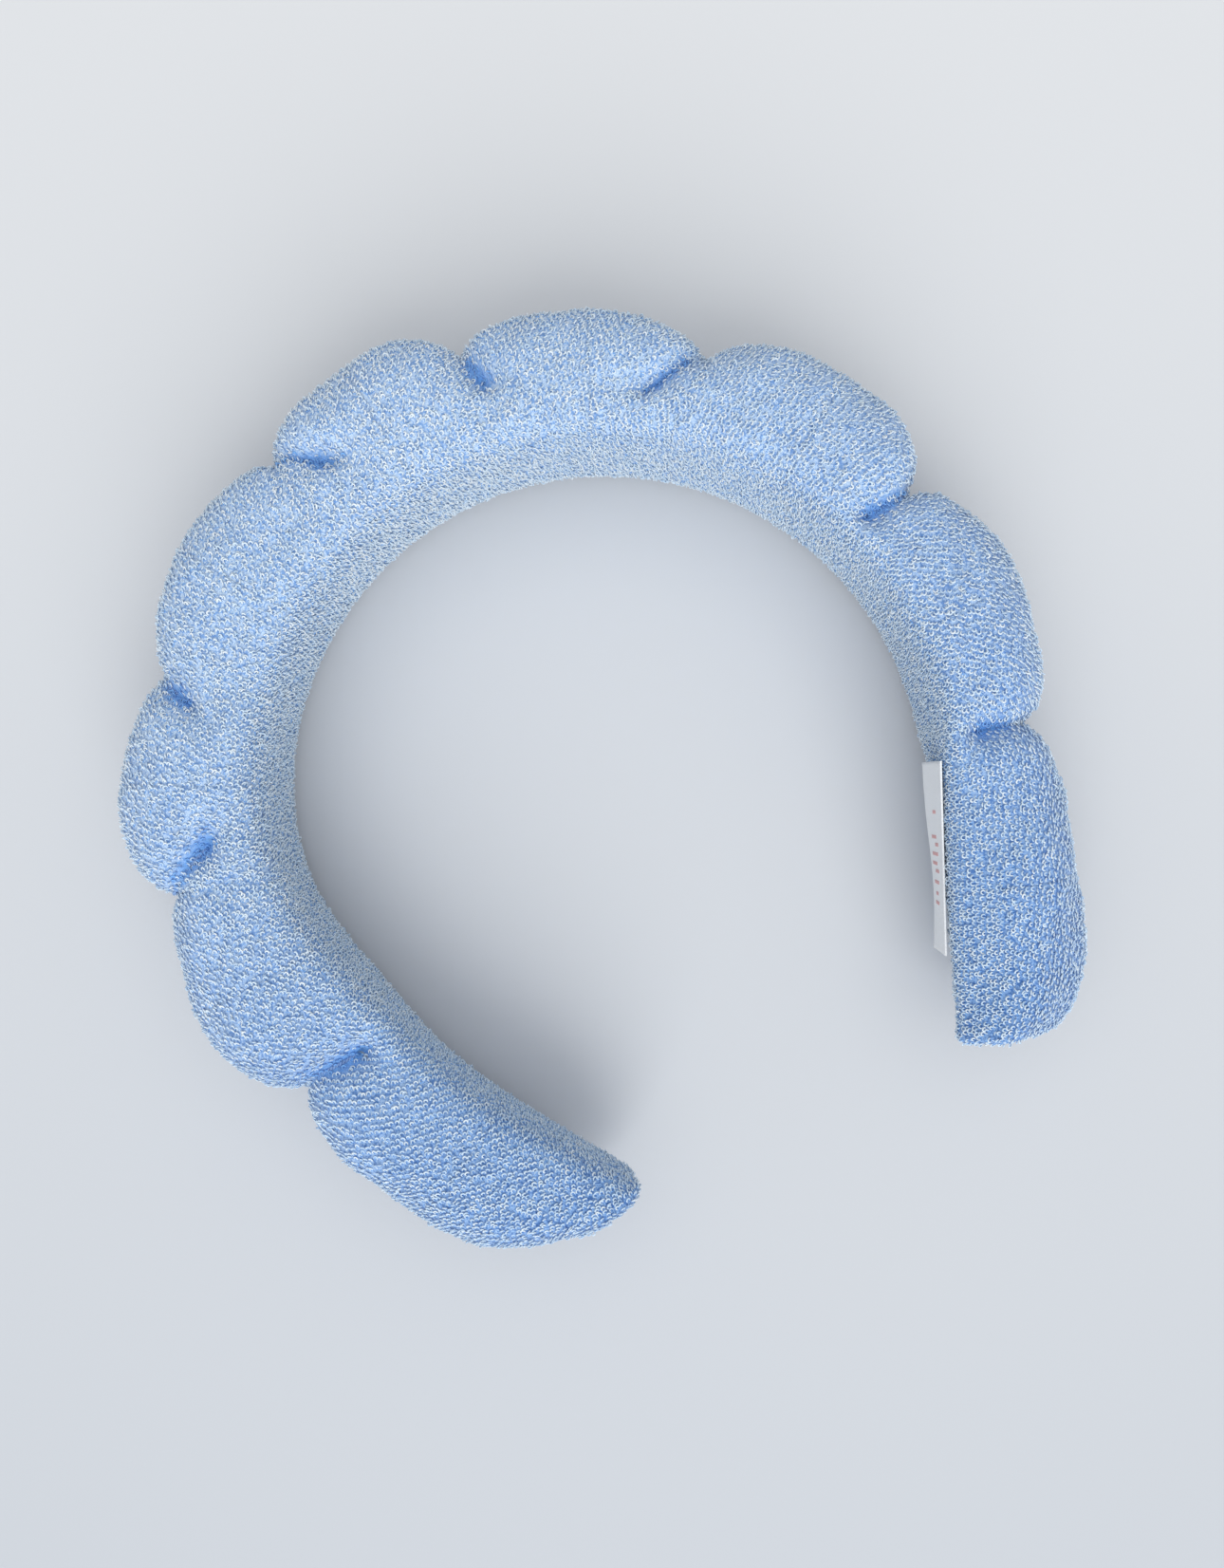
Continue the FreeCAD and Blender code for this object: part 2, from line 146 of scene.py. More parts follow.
def blend_between(value, low, high):
    """Smooth step from 0 at low to 1 at high."""
    share = np.clip((value - low) / (high - low), 0, 1)
    return share * share * (3 - 2 * share)


def side_values(table, along):
    return np.where(along < 0, table[LEFT], table[RIGHT])


def segment_at(along):
    return np.clip(np.searchsorted(BOUNDS, along, side="right") - 1, 0, len(SEGMENTS) - 1)


def hoop_frame(along):
    """Points on the hoop line, directions along it and outwards, one row for each value of along."""
    side = np.where(along < 0, -1.0, 1.0)
    beyond = np.maximum(np.abs(along) - INNER_RADIUS * side_values(ARC_END, along), 0)
    angle = np.where(beyond > 0, side * side_values(ARC_END, along), along / INNER_RADIUS)
    level = np.zeros_like(angle)
    forward = np.stack([np.cos(angle), -np.sin(angle), level], -1)
    outward = np.stack([np.sin(angle), np.cos(angle), level], -1)
    return outward * INNER_RADIUS + forward * (side * beyond)[..., None], forward, outward


def end_share(along):
    """How far a place is into an end pad, from 0 at its tie to 1 at the closed end."""
    tie = np.where(along < 0, TIE_ALONG[0], TIE_ALONG[-1])
    return np.clip((along - tie) / (side_values(END_ALONG, along) - tie), 0, 1)


def twist_at(along):
    places = [BOUNDS[0], TIE_ALONG[0], -LEVEL * INNER_RADIUS, LEVEL * INNER_RADIUS, TIE_ALONG[-1], BOUNDS[-1]]
    levels = [TWIST_DEG[k] for k in ("left_end", "left_tie", "level", "level", "right_tie", "right_end")]
    return np.radians(np.interp(along, places, levels))


def swell_at(along):
    """How far the cloth stands off the hoop line, towards the head."""
    bump = SWELL_DEPTH * np.exp(-((along - SWELL_ALONG) / SWELL_REACH) ** 2)
    return bump + SWELL_END_DEPTH * blend_between(-along, -TIE_ALONG[0], -BOUNDS[0])


def pad_size(along):
    """How far out the rim is and how wide the pad is, one value for each place along."""
    segment = segment_at(along)
    share = np.clip((along - BOUNDS[segment]) / (BOUNDS[segment + 1] - BOUNDS[segment]), 0, 1)
    skewed = share + np.array(PUFF_SKEW)[segment] * share * (1 - share)
    before = np.clip(segment - 1, 0, len(TIES) - 1)
    after = np.clip(segment, 0, len(TIES) - 1)
    arch = (1 - np.abs(2 * skewed - 1) ** CROWNING) ** np.array(FULLNESS)[segment]
    past_tie = end_share(along)
    swell = 1 - (1 - np.minimum(past_tie / side_values(END_SWELL, along), 1)) ** 3
    in_end = (segment == 0) | (segment == len(SEGMENTS) - 1)
    rise = np.where(in_end, swell, arch)
    sizes = []
    for at_tie, at_puff in ((np.array(TIE_OUT), np.array(PUFF_OUT)), (np.array(TIE_WIDTH), np.array(PUFF_WIDTH))):
        base = np.where(in_end, at_tie[before], at_tie[before] + (at_tie[after] - at_tie[before]) * share)
        sizes.append(base + (at_puff[segment] - base) * rise)
    out, width = sizes
    rounding = side_values(END_ROUNDING, along)
    past = np.clip((past_tie - 1 + rounding) / rounding, 0, 1) * in_end
    kept = side_values(END_OUT_SHARE, along)
    out = out * (kept + (1 - kept) * (1 - past ** ROUNDING_POWER) ** (1 / ROUNDING_POWER))
    width = width + (side_values(END_WIDTH, along) - width) * past ** ROUNDING_POWER
    return out + swell_at(along), width


def section(out, width, angle):
    """Points of the padded section, (out, across). Angle 0 is the rim and half a turn is the inner face."""
    towards_rim = np.cos(angle) >= 0
    power = 2 / np.where(towards_rim, RIM_ROUNDNESS, INNER_ROUNDNESS)
    lobe = np.where(towards_rim, 1 - SECTION_SPLIT, -SECTION_SPLIT)
    o = out * (SECTION_SPLIT + lobe * np.abs(np.cos(angle)) ** power)
    a = width / 2 * np.sign(np.sin(angle)) * np.abs(np.sin(angle)) ** power
    return o, a


def columns_evenly(out, width, cover_columns, liner_columns):
    """Section points spaced evenly round the cover, from lip over the rim to lip, then round the liner."""
    lip = math.pi - math.asin((2 * SLOT_SHARE) ** (INNER_ROUNDNESS / 2))
    strips = []
    for start, stop, count in ((lip, -lip, cover_columns), (-lip, lip - 2 * math.pi, liner_columns)):
        angle = np.linspace(start, stop, SECTION_SAMPLES)
        o, a = section(out[:, None], width[:, None], angle[None, :])
        step = np.hypot(np.diff(o, axis=1), np.diff(a, axis=1))
        reach = np.concatenate([np.zeros((len(out), 1)), np.cumsum(step, axis=1)], axis=1)
        at = np.arange(count)[None, :] / count * reach[:, -1:]
        strips.append(np.stack([[np.interp(*row) for row in zip(at, reach, o)],
                                [np.interp(*row) for row in zip(at, reach, a)]], -1))
    return np.concatenate(strips, axis=1)


def draw_in(along, rim, points):
    """Sinks the section points at the tufts: a slit from the rim to the thread, a dimple and a valley."""
    out, across = points[..., 0], points[..., 1]
    upper = np.where(across >= 0, 1, -1)
    sunk = np.zeros_like(out)
    for k, tie in enumerate(TIE_ALONG):
        depth = np.maximum(TIE_OUT[k] - SKIN_INSET - out, 0)
        lean = np.where(upper > 0, TUFT_LEAN[1][k], TUFT_LEAN[-1][k])
        follow = np.clip(depth / TUFT_DEPTH, 0, 1.5)
        offset = np.abs(along[:, None] - tie - lean * follow)
        slit = SLIT_SINK + (TUFT_SINK - SLIT_SINK) * np.clip(depth / TUFT_DEPTH, 0, 1)
        slit = slit * (1 - blend_between(depth, TUFT_DEPTH, TUFT_DEPTH + SLIT_FADE))
        valley = VALLEY_SINK * (1 - blend_between(depth, TUFT_DEPTH, TIE_OUT[k] - VALLEY_STOP))
        at_slit = slit * np.exp(-(offset / SLIT_SPREAD) ** 1.3)
        at_valley = valley * np.exp(-(offset / VALLEY_SPREAD) ** 2)
        sunk = np.maximum(sunk, at_slit + at_valley)
    reach = np.maximum(np.abs(across), 1e-6)
    rim_share = np.clip(1 - (rim[:, None] - out) / RIM_REACH, 0, 1)
    inward = np.sign(across) * np.minimum(sunk, reach) * (1 - RIM_SHALLOWER * rim_share)
    return np.stack([out - sunk * RIM_DRAWN * rim_share, across - inward], -1)


def in_space(along, rim, points):
    """Places the section points in space, with the band's twist and the slant of its ends."""
    point, forward, outward = hoop_frame(along)
    twist = twist_at(along)[:, None]
    axis = np.minimum(SECTION_SPLIT * rim, TWIST_AXIS_OUT)[:, None]
    out, across = points[..., 0], points[..., 1]
    turned_out = axis + (out - axis) * np.cos(twist) - across * np.sin(twist)
    turned_across = (out - axis) * np.sin(twist) + across * np.cos(twist)
    side = np.where(along < 0, -1.0, 1.0)
    slant = (side * side_values(END_SLANT, along) * end_share(along) ** 2)[:, None]
    turned_out = turned_out - swell_at(along)[:, None]
    place = HOOP_CENTRE + point[:, None, :] + outward[:, None, :] * turned_out[..., None]
    place = place - forward[:, None, :] * (slant * turned_out)[..., None]
    place[..., 2] += turned_across
    return place


def cap(ring, away):
    """Rings that close a tube's end in a low dome."""
    centre = ring.mean(axis=0)
    turns = np.linspace(0, math.pi / 2, CAP_RINGS + 1)[1:]
    return np.array([centre + (ring - centre) * max(math.cos(t), CAP_TIP) + away * CAP_BULGE * math.sin(t)
                     for t in turns])


def tube(step, cover_columns, liner_columns):
    """Rings of the whole cloth tube, with a rounded cap at each end.

    Returns each ring's place along the band, the points in space and how far each was sunk by a tuft.
    """
    count = int(round((BOUNDS[-1] - BOUNDS[0]) / step))
    along = np.linspace(BOUNDS[0] + SKIN_INSET, BOUNDS[-1] - SKIN_INSET, count)
    out, width = pad_size(along)
    plain = columns_evenly(out - 2 * SKIN_INSET, width - 2 * SKIN_INSET, cover_columns, liner_columns)
    plain[..., 0] += SKIN_INSET
    points = draw_in(along, out - SKIN_INSET, plain)
    sunk = np.linalg.norm(points - plain, axis=-1)
    rings = in_space(along, out, points)
    forward = hoop_frame(along)[1]
    rings = np.concatenate([cap(rings[0], -forward[0])[::-1], rings, cap(rings[-1], forward[-1])])
    past = np.arange(1, CAP_RINGS + 1) * CAP_STEP
    along = np.concatenate([along[0] - past[::-1], along, along[-1] + past])
    none = np.zeros((CAP_RINGS, sunk.shape[1]))
    return along, rings, np.concatenate([none, sunk, none])


def normals_of(rings):
    """Outward unit normals of a closed tube of rings."""
    along = np.gradient(rings, axis=0)
    around = np.roll(rings, -1, axis=1) - np.roll(rings, 1, axis=1)
    normal = np.cross(along, around)
    normal /= np.maximum(np.linalg.norm(normal, axis=-1, keepdims=True), 1e-9)
    return normal


# ---------------------------------------------------------------- cloth simulation

SIM_STEP, SIM_COVER, SIM_LINER = 2.6, 36, 12
SIM_FRAMES = 20
SIM_PRESSURE = 4.0
SMOOTHINGS = 3
SIM_MOST = 1.6              # the furthest that the cloth may move
CLOTH_QUALITY, CLOTH_STIFFNESS, CLOTH_BENDING = 6, 25, 0.4
HELD_WHERE_SUNK = 1.2       # cloth is held where a tuft sinks it more than this
CREASE_SUNK = (1.9, 4.6)    # from here to here the cloth takes on its deepest blue, painted crease shade in the tufts


def grid_faces(rows, columns, closed):
    """Quads of a grid of rows and columns. Closed joins the last column to the first."""
    row, column = np.meshgrid(np.arange(rows - 1), np.arange(columns if closed else columns - 1), indexing="ij")
    after = (column + 1) % columns
    quads = [row * columns + column, (row + 1) * columns + column, (row + 1) * columns + after, row * columns + after]
    return np.stack(quads, -1).reshape(-1, 4)


def mesh_object(name, points, faces, smooth=True):
    """Mesh object from points in millimetres in the row frame."""
    mesh = bpy.data.meshes.new(name)
    mesh.vertices.add(len(points))
    mesh.vertices.foreach_set("co", (np.asarray(points) * MM).astype(np.float32).ravel())
    sides = faces.shape[1]
    mesh.loops.add(faces.size)
    mesh.loops.foreach_set("vertex_index", faces.astype(np.int32).ravel())
    mesh.polygons.add(len(faces))
    mesh.polygons.foreach_set("loop_start", np.arange(0, faces.size, sides, dtype=np.int32))
    mesh.update(calc_edges=True)
    if smooth:
        mesh.shade_smooth()
    piece = bpy.data.objects.new(name, mesh)
    bpy.context.scene.collection.objects.link(piece)
    return piece


def inflated():
    """Blows the cloth tube up with Blender's cloth, held at the tufts, the liner and the ends.

    Returns the rings' places along and how far each point moves, both on the coarse grid.
    """
    along, rings, sunk = tube(SIM_STEP, SIM_COVER, SIM_LINER)
    rows, columns = rings.shape[:2]
    faces = grid_faces(rows, columns, closed=True)
    cloth_tube = mesh_object("cloth_tube", rings.reshape(-1, 3), faces)
    held = np.zeros((rows, columns), bool)
    held[:, SIM_COVER - 1:] = True
    held[:, 0] = True
    held[:CAP_RINGS] = True
    held[-CAP_RINGS:] = True
    held |= sunk > HELD_WHERE_SUNK
    group = cloth_tube.vertex_groups.new(name="held")
    group.add(np.flatnonzero(held).tolist(), 1.0, "REPLACE")
    cloth = cloth_tube.modifiers.new("Cloth", "CLOTH")
    settings = cloth.settings
    settings.quality = CLOTH_QUALITY
    settings.vertex_group_mass = "held"
    settings.use_pressure = True
    settings.uniform_pressure_force = SIM_PRESSURE
    settings.effector_weights.gravity = 0
    settings.tension_stiffness = CLOTH_STIFFNESS
    settings.compression_stiffness = CLOTH_STIFFNESS
    settings.bending_stiffness = CLOTH_BENDING
    cloth.point_cache.frame_end = SIM_FRAMES
    for step in range(1, SIM_FRAMES + 1):
        bpy.context.scene.frame_set(step)
    evaluated = cloth_tube.evaluated_get(bpy.context.evaluated_depsgraph_get()).data
    moved = np.empty(len(evaluated.vertices) * 3, np.float32)
    evaluated.vertices.foreach_get("co", moved)
    shift = moved.reshape(rows, columns, 3) / MM - rings
    bpy.data.objects.remove(cloth_tube)
    bpy.context.scene.frame_set(1)
    length = np.linalg.norm(shift, axis=-1, keepdims=True)
    return along, shift * np.minimum(1, SIM_MOST / np.maximum(length, 1e-9))


def column_places(cover_columns, liner_columns):
    """Where each column is round the tube: 0 to 1 over the cover, 1 to 2 over the liner."""
    return np.concatenate([np.arange(cover_columns) / cover_columns, 1 + np.arange(liner_columns) / liner_columns])


def spread_to(along, coarse_along, shift):
    """Carries the coarse grid's shifts to the fine grid, and smooths them a little."""
    wide = np.concatenate([shift, shift[:, :1]], axis=1)
    places = np.append(column_places(SIM_COVER, SIM_LINER), 2.0)
    lengthwise = np.stack([[np.interp(along, coarse_along, wide[:, c, i]) for c in range(wide.shape[1])]
                           for i in range(3)], -1).transpose(1, 0, 2)
    wanted = column_places(COVER_COLUMNS, LINER_COLUMNS)
    fine = np.stack([[np.interp(wanted, places, row[:, i]) for row in lengthwise] for i in range(3)], -1)
    for _ in range(SMOOTHINGS):
        fine = (fine + np.roll(fine, 1, axis=1) + np.roll(fine, -1, axis=1)) / 3
        fine[1:-1] = (fine[:-2] + fine[1:-1] + fine[2:]) / 3
    return fine


# ---------------------------------------------------------------- soft irregularity

LUMPS = [(9.0, 0.16), (24.0, 0.35)]     # wavelength and height of the foam's unevenness, mm
WAVES_PER_LUMP = 9
LUMP_MARGIN = 8                         # columns from the seam, over which the unevenness sets in
FLOOR_SOFTNESS = 1.2                    # cloth starts to flatten this far above the floor


def lumpiness(rings):
    """Smooth random unevenness at each point, from a few waves in random directions."""
    total = np.zeros(rings.shape[:2])
    for wavelength, height in LUMPS:
        for _ in range(WAVES_PER_LUMP):
            direction = RNG.normal(size=3)
            direction /= np.linalg.norm(direction)
            phase = RNG.uniform(0, 2 * math.pi)
            total += height / 3 * np.sin(rings @ direction * (2 * math.pi / wavelength) + phase)
    return total


def rest_on_floor(rings, floor):
    """Flattens what would reach below floor."""
    z = rings[..., 2]
    soft = FLOOR_SOFTNESS
    rings[..., 2] = np.where(z < floor + soft, floor + soft * np.exp((z - floor - soft) / soft), z)
    return rings


# ---------------------------------------------------------------- regions of the tube

PAST_THE_ENDS = 50.0        # more than the caps reach
SPLITS = np.array([BOUNDS[0] - PAST_THE_ENDS, *MIDDLES, BOUNDS[-1] + PAST_THE_ENDS])
REGION_NAMES = ["left_end", *[name.replace("_tie", "") for name in TIES], "right_end"]


def follow(piece, region):
    """Makes a piece of one region ride on its end's body; a piece of any other region keeps its place, with its
    transform baked into its mesh.
    """
    if region in (0, len(REGION_NAMES) - 1):
        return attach(piece, SEGMENTS[0] if region == 0 else SEGMENTS[-1])
    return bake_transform(piece)


def segments_of(region):
    """Names of the puffs that a region covers part of."""
    return SEGMENTS[max(region - 1, 0):region + 1]


def rows_of(along, region):
    """Rows of the grid that lie in a region, with the row that it shares with the next one."""
    inside = np.flatnonzero((along >= SPLITS[region]) & (along <= SPLITS[region + 1]))
    last = min(inside[-1] + 1, len(along) - 1)
    return np.arange(inside[0], last + 1)


def shell(name, outside, normals, thickness):
    """Closed sheet of cloth from a grid of outside points."""
    rows, columns = outside.shape[:2]
    inside = outside - normals * thickness
    count = rows * columns
    faces = grid_faces(rows, columns, closed=False)
    index = np.arange(count).reshape(rows, columns)
    border = np.concatenate([index[0, :], index[1:, -1], index[-1, -2::-1], index[-2:0:-1, 0]])
    following = np.roll(border, -1)
    rim = np.stack([border, following, following + count, border + count], -1)
    all_faces = np.concatenate([faces, faces[:, ::-1] + count, rim])
    piece = mesh_object(name, np.concatenate([outside.reshape(-1, 3), inside.reshape(-1, 3)]), all_faces)
    smooth = np.arange(len(all_faces)) < 2 * len(faces)
    piece.data.polygons.foreach_set("use_smooth", smooth)
    return piece


# ---------------------------------------------------------------- terry loops

LOOP_SPACING = (0.95, 0.98)         # along a row of loops, and between rows
ROW_TURN_DEG = [57, 38, 72, 84, 95, 98, 80, 60, 4]      # of the rows, from the band's length, at each puff
LEAN_DEG = [62, 58, 52, 48, 46, 48, 52, 56, 60]         # of the loops, at each puff
LEAN_SPREAD_DEG = 17.0
TURN_SPREAD_DEG = [20, 26, 34, 38, 40, 38, 34, 28, 22]
LOOP_JITTER = 0.15
LOOP_RADIUS = 0.40
YARN_RADIUS = 0.165
LOOP_SIZES, YARN_SIZES = (0.82, 1.2), (0.9, 1.12)   # least and most, as shares of the radii
LOOP_NARROWING = 0.85               # width of a ring along its row, as a share of its height
LOOP_STEPS = 7
YARN_SIDES = 3
LOOP_OPEN = math.radians(36)        # the part of each ring that the feet leave open
LOOP_CENTRE = 0.82                  # height of a ring's centre, as a share of its radius
FLOOR_TOUCH = 0.04
NOMINAL_COLUMN = 0.79               # width of a grid column at full girth
LEAST_SHARE = 0.75                  # where the cloth is gathered more than this, some loops are left out
ROOT_STEPS = 1                      # steps of each loop, from each foot, that are in the shade
TINTS = 5
PALENESS = [0.34, 0.48, 0.52, 0.56, 0.66, 0.58, 0.54, 0.50, 0.42]   # of the yarn at each puff, 0 to 1; painted paler towards the crown, standing in partly for the light, which is weaker towards the free ends
PALENESS_SPREAD = 0.18


def lattice(along, columns, stretch):
    """Places of the loops as grid rows and columns, in slanting rows that change direction at each tie."""
    places = []
    girth = columns * NOMINAL_COLUMN
    for segment, turn in enumerate(ROW_TURN_DEG):
        low = along[0] if segment == 0 else BOUNDS[segment]
        high = along[-1] if segment == len(SEGMENTS) - 1 else BOUNDS[segment + 1]
        reach = math.hypot(high - low, girth) / 2 + 2
        closer = 1 / math.sqrt(stretch[segment])
        steps = [np.arange(-reach, reach, spacing * closer) for spacing in LOOP_SPACING]
        p, q = np.meshgrid(*steps, indexing="ij")
        p = p + LOOP_SPACING[0] * closer / 2 * (np.arange(p.shape[1]) % 2)
        p, q = (x + RNG.normal(0, LOOP_JITTER, x.shape) for x in (p, q))
        angle = math.radians(turn)
        a = (low + high) / 2 + p * math.cos(angle) - q * math.sin(angle)
        g = girth / 2 + p * math.sin(angle) + q * math.cos(angle)
        inside = (a >= low) & (a < high) & (g >= 0) & (g < girth)
        places.append(np.stack([a[inside], g[inside] / NOMINAL_COLUMN], -1))
    return np.concatenate(places)


def sample(grid, row, column):
    """Values of a grid at fractional rows and columns. Columns go round."""
    r = np.clip(np.floor(row).astype(int), 0, grid.shape[0] - 2)
    c = np.floor(column).astype(int) % grid.shape[1]
    after = (c + 1) % grid.shape[1]
    fr, fc = (row - r)[:, None], (column - np.floor(column))[:, None]
    low = grid[r, c] * (1 - fc) + grid[r, after] * fc
    high = grid[r + 1, c] * (1 - fc) + grid[r + 1, after] * fc
    return low * (1 - fr) + high * fr


def unit(v):
    return v / np.maximum(np.linalg.norm(v, axis=-1, keepdims=True), 1e-9)


def loop_bases(along, rings, normals, crease_shade):
    """Where every loop of the terry stands.

    Returns its place along, its column, base, normal and row direction, and how deep it is in a tuft, which sets its
    painted crease shade.
    """
    rows, columns = rings.shape[:2]
    lengthwise = np.gradient(rings, axis=0)
    around = (np.roll(rings, -1, axis=1) - np.roll(rings, 1, axis=1)) / 2
    cell = np.linalg.norm(np.cross(lengthwise, around), axis=-1)
    share = cell / (np.gradient(along)[:, None] * NOMINAL_COLUMN)
    in_segment = segment_at(along)
    stretch = [share[in_segment == segment].mean() for segment in range(len(SEGMENTS))]
    places = lattice(along, columns, stretch)
    row = np.interp(places[:, 0], along, np.arange(rows))
    kept = RNG.uniform(size=len(row)) < sample(share[..., None], row, places[:, 1])[:, 0] / LEAST_SHARE
    row, column, place = row[kept], places[kept, 1], places[kept, 0]
    angle = np.radians(ROW_TURN_DEG)[segment_at(place)]
    normal = unit(sample(normals, row, column))
    forward = unit(sample(lengthwise, row, column))
    sideways = unit(np.cross(normal, forward))
    direction = forward * np.cos(angle)[:, None] + sideways * np.sin(angle)[:, None]
    deep = sample(crease_shade[..., None], row, column)[:, 0]
    return place, column, sample(rings, row, column), normal, direction, deep


def pile(name, place, base, normal, direction, deep):
    """Loops of yarn as bent tubes. Each is most of a ring, leaning over, with both feet in the cloth."""
    count = len(base)
    segment = segment_at(place)
    turn = np.radians(RNG.normal(0, np.array(TURN_SPREAD_DEG)[segment]))[:, None]
    across = np.cross(normal, direction)
    feet = direction * np.cos(turn) + across * np.sin(turn)
    lean = np.radians(RNG.normal(np.array(LEAN_DEG)[segment], LEAN_SPREAD_DEG))[:, None]
    up = normal * np.cos(lean) + np.cross(feet, normal) * np.sin(lean)
    radius = LOOP_RADIUS * RNG.uniform(*LOOP_SIZES, count)[:, None]
    yarn = YARN_RADIUS * RNG.uniform(*YARN_SIZES, count)[:, None, None, None]
    side = np.cross(feet, up)
    turns = -math.pi / 2 + LOOP_OPEN / 2 + (2 * math.pi - LOOP_OPEN) * np.linspace(0, 1, LOOP_STEPS + 1)
    spoke = feet[:, None] * (np.cos(turns) * LOOP_NARROWING)[None, :, None]
    spoke = spoke + up[:, None] * np.sin(turns)[None, :, None]
    centre = base[:, None] + up[:, None] * (radius * LOOP_CENTRE)[:, None] + spoke * radius[:, None]
    beta = 2 * math.pi * np.arange(YARN_SIDES) / YARN_SIDES
    ring = unit(spoke)[:, :, None] * np.cos(beta)[None, None, :, None]
    ring = ring + side[:, None, None] * np.sin(beta)[None, None, :, None]
    points = centre[:, :, None] + ring * yarn
    points[..., 2] = np.maximum(points[..., 2], FLOOR_TOUCH)
    per_loop = (LOOP_STEPS + 1) * YARN_SIDES
    step, edge = np.meshgrid(np.arange(LOOP_STEPS), np.arange(YARN_SIDES), indexing="ij")
    a, b = step * YARN_SIDES + edge, step * YARN_SIDES + (edge + 1) % YARN_SIDES
    halves = np.stack([[a, a + YARN_SIDES, b + YARN_SIDES], [a, b + YARN_SIDES, b]])
    sides = halves.transpose(0, 2, 3, 1).reshape(-1, 3)
    foot = np.arange(YARN_SIDES)
    one_loop = np.concatenate([sides, [foot, (foot + LOOP_STEPS * YARN_SIDES)[::-1]]])
    faces = (one_loop[None] + (np.arange(count) * per_loop)[:, None, None]).reshape(-1, 3)
    piece = mesh_object(name, points.reshape(-1, 3), faces)
    near_foot = np.minimum(step, LOOP_STEPS - 1 - step).ravel() < ROOT_STEPS
    rooted = np.concatenate([near_foot, near_foot, [True, True]])
    # Painted light falloff: the yarn is paler towards the crown, with a random spread in its tone.
    pale = np.clip(np.interp(place, MIDDLES, PALENESS) + RNG.normal(0, PALENESS_SPREAD, count), 0, 0.999)
    # Loops deep in a tuft take the root colour, painted crease shade; the others take a tint by their paleness.
    tint = np.where(RNG.uniform(size=count) < deep, 0, 1 + np.floor(pale * TINTS).astype(int))
    slots = np.where(rooted[None, :], 0, tint[:, None]).ravel()
    piece.data.polygons.foreach_set("material_index", slots.astype(np.int32))
    return piece


# ---------------------------------------------------------------- small pieces

THREAD_PLY = 0.2
THREAD_FULLNESS = 1.05      # the plies just overlap
THREAD_SIDES = 6
THREAD_TURNS = 46
THREAD_INSET = 1.1          # from the outside of the padded section, before the tuft draws it in
THREAD_POINTS = 420
THREAD_PASSES = 6           # to find where the leaning tuft takes the thread

LABEL_LENGTH, LABEL_DROP, LABEL_THICKNESS = 38.0, 12.0, 0.3
LABEL_AFTER_TIE = 5.0
LABEL_OFF = 0.25
LABEL_FLARE = 1.5               # of its first corner
LABEL_TUCK = 1.1
LABEL_RIPPLE, LABEL_RIPPLE_RATE = 0.25, 7.0
LABEL_CELLS, MARK_CELLS = (64, 22), (5, 14)


def tube_along(path, sideways, radius, sides):
    """Points and faces of a closed round tube along a closed path. sideways is a direction that it never takes."""
    ahead = unit(np.roll(path, -1, axis=0) - np.roll(path, 1, axis=0))
    first = unit(np.cross(ahead, sideways))
    second = np.cross(ahead, first)
    beta = 2 * math.pi * np.arange(sides) / sides
    spokes = first[:, None] * np.cos(beta)[:, None] + second[:, None] * np.sin(beta)[:, None]
    points = path[:, None] + radius * spokes
    index = np.arange(len(path) * sides).reshape(len(path), sides)
    after = np.roll(index, -1, axis=0)
    quads = np.stack([index, np.roll(index, -1, axis=1), np.roll(after, -1, axis=1), after], -1)
    return points.reshape(-1, 3), quads.reshape(-1, 4)


def thread_path(tie):
    """Where the thread lies on the cloth along the bottom of a tuft, from the lower side over the rim."""
    angle = np.linspace(-math.pi / 2, math.pi / 2, THREAD_POINTS)
    lean = np.where(angle > 0, TUFT_LEAN[1][tie], TUFT_LEAN[-1][tie])
    along = np.full(THREAD_POINTS, TIE_ALONG[tie])
    for _ in range(THREAD_PASSES):
        out, width = pad_size(along)
        o, a = section(out - 2 * THREAD_INSET, width - 2 * THREAD_INSET, angle)
        o = o + THREAD_INSET
        depth = TIE_OUT[tie] - SKIN_INSET - o
        along = TIE_ALONG[tie] + lean * np.clip(depth / TUFT_DEPTH, 0, 1)
    points = draw_in(along, out - THREAD_INSET, np.stack([o, a], -1)[:, None])
    return in_space(along, out, points)[depth <= TUFT_DEPTH, 0]


def thread_tie(tie):
    """Two-ply sewing thread round the outer part of the pad and back through it."""
    path = thread_path(tie)
    closed = np.concatenate([path, path[:1]])
    reach = np.concatenate([[0], np.cumsum(np.linalg.norm(np.diff(closed, axis=0), axis=1))])
    even = np.linspace(0, reach[-1], THREAD_POINTS, endpoint=False)
    path = np.stack([np.interp(even, reach, closed[:, i]) for i in range(3)], -1)
    forward = hoop_frame(TIE_ALONG[[tie]])[1][0]
    ahead = unit(np.roll(path, -1, axis=0) - np.roll(path, 1, axis=0))
    outward = np.cross(ahead, forward)
    wind = np.linspace(0, 2 * math.pi * THREAD_TURNS, THREAD_POINTS, endpoint=False)[:, None]
    points, faces = [], []
    for ply in (0, math.pi):
        strand = path + THREAD_PLY * (outward * np.cos(wind + ply) + forward * np.sin(wind + ply))
        p, f = tube_along(strand, forward, THREAD_PLY * THREAD_FULLNESS, THREAD_SIDES)
        faces.append(f + sum(len(q) for q in points))
        points.append(p)
    return mesh_object(TIES[tie] + "_thread", np.concatenate(points), np.concatenate(faces))


